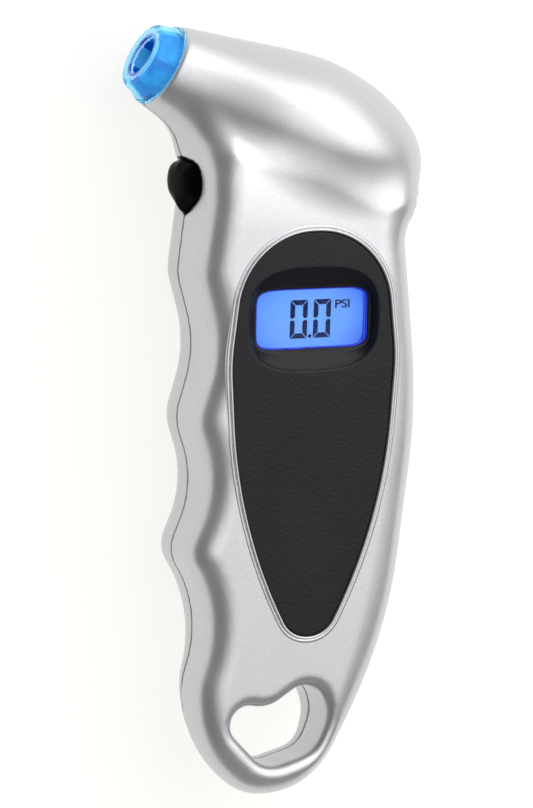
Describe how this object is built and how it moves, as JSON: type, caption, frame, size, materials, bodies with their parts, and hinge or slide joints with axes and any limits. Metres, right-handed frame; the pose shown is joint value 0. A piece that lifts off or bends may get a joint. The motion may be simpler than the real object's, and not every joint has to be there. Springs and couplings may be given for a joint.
{
  "type": "digital tire pressure gauge",
  "caption": "Handheld digital tire pressure gauge with angled lit nozzle, finger-scalloped grip, backlit display, side button, hang hole and rear battery door.",
  "frame": {"origin": "middle of the base, with the gauge lying on its back", "axes": "+Z out of the display, +Y along the grip towards the nozzle, +X to the right of the display"},
  "size_m": [0.0635, 0.1576, 0.0284],
  "materials": {
    "silver_shell": "satin silver paint",
    "black_inlay": "fine leather grain",
    "clear_window": "polished clear",
    "display_cell": "lit blue display",
    "light_guide": "polished",
    "blue_ring": "translucent, polished",
    "core_plastic": "polished",
    "black_gloss": "polished",
    "black_plastic": "fine matte",
    "white_plastic": "matte",
    "dark_rubber": "matte",
    "circuit_board": "solder mask",
    "chip_black": "moulded",
    "steel": "bright zinc",
    "spring_steel": "nickel plated",
    "brass": "turned",
    "cell_can": "bright nickel",
    "red_lead": "smooth sleeve",
    "black_lead": "smooth sleeve"
  },
  "bodies": {
    "root": {"front_casing": "silver_shell", "rear_casing": "silver_shell", "inlay_panel": "black_inlay", "display_window": "clear_window", "lcd_glass": "display_cell", "lcd_backlight": "light_guide", "lcd_frame": "white_plastic", "zebra_strip_upper": "dark_rubber", "zebra_strip_lower": "dark_rubber", "main_board": "circuit_board", "controller_chip": "chip_black", "board_components": "chip_black", "board_screws": "steel", "casing_screws": "steel", "nozzle_light_ring": "blue_ring", "chuck_core": "core_plastic", "valve_gasket": "dark_rubber", "depressor_pin": "brass", "sensor_hose": "dark_rubber", "pressure_sensor": "white_plastic", "hose_clamp_chuck": "spring_steel", "hose_clamp_sensor": "spring_steel", "nozzle_led": "blue_ring", "led_lead_red": "red_lead", "led_lead_black": "black_lead", "switch_body": "black_plastic", "battery_cells": "cell_can", "battery_contact_spring": "spring_steel", "battery_contact_plate": "spring_steel", "battery_lead_red": "red_lead", "battery_lead_black": "black_lead"},
    "power_button": {"power_button": "black_gloss"},
    "switch_plunger": {"switch_plunger": "white_plastic"},
    "battery_door": {"battery_door": "silver_shell"},
    "door_screw": {"battery_door_screw": "steel"}
  },
  "joints": [
    {"name": "button_press", "type": "slide", "parent": "root", "child": "power_button", "axis": [1, 0, 0], "range_m": [0, 0.0008], "stiffness_N_per_m": 900, "springref_m": -0.0005},
    {"name": "plunger_press", "type": "slide", "parent": "root", "child": "switch_plunger", "axis": [1, 0, 0], "range_m": [0, 0.0008]},
    {"name": "battery_door_lift", "type": "slide", "parent": "root", "child": "battery_door", "axis": [0, 0, -1], "range_m": [0, 0.01]},
    {"name": "door_screw_turn", "type": "hinge", "parent": "battery_door", "child": "door_screw", "pos_m": [0.002, -0.0036, 0.00115], "axis": [0, 0, 1], "continuous": true}
  ],
  "couplings": [
    {"joint": "plunger_press", "follows": "button_press", "ratio": 1}
  ]
}
